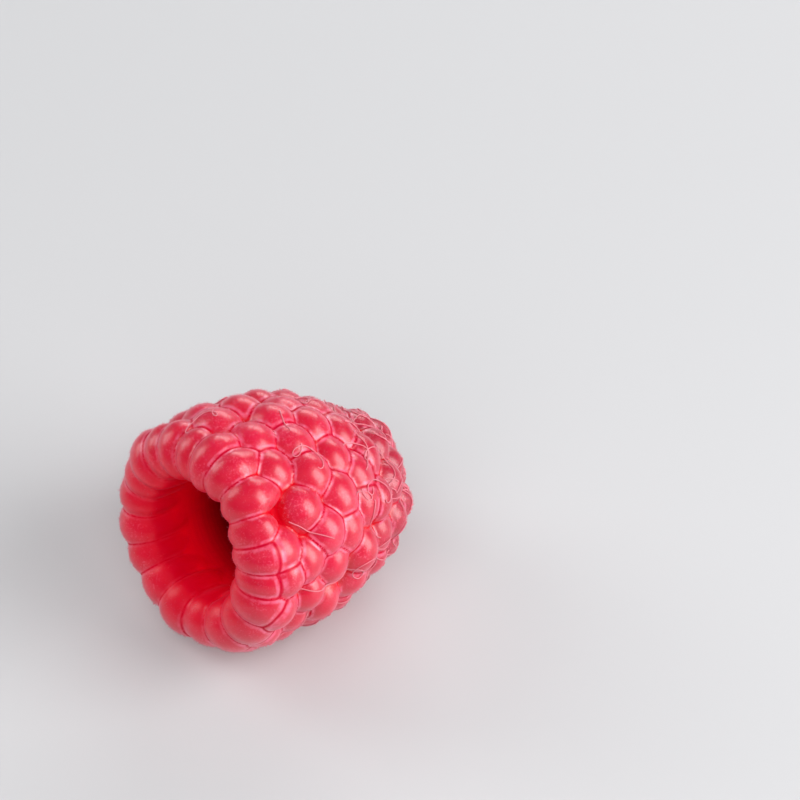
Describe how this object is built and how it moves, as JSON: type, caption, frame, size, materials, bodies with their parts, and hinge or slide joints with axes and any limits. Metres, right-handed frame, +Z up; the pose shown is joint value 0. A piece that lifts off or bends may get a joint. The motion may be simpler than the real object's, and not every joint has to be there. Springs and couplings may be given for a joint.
{
  "type": "raspberry",
  "caption": "Picked raspberry lying on its side: rings of plump red drupelets grown together round an open conical hollow.",
  "frame": {"origin": "under the middle of the fruit's bounding box, on the surface that it lies on", "axes": "+Z up; the mouth of the hollow faces -Y and looks 14.5 degrees up, the tip points to +Y; +X is across the fruit"},
  "size_m": [0.0208, 0.0248, 0.0222],
  "materials": {
    "flesh": null
  },
  "bodies": {
    "root": {"berry": "flesh"}
  },
  "joints": []
}
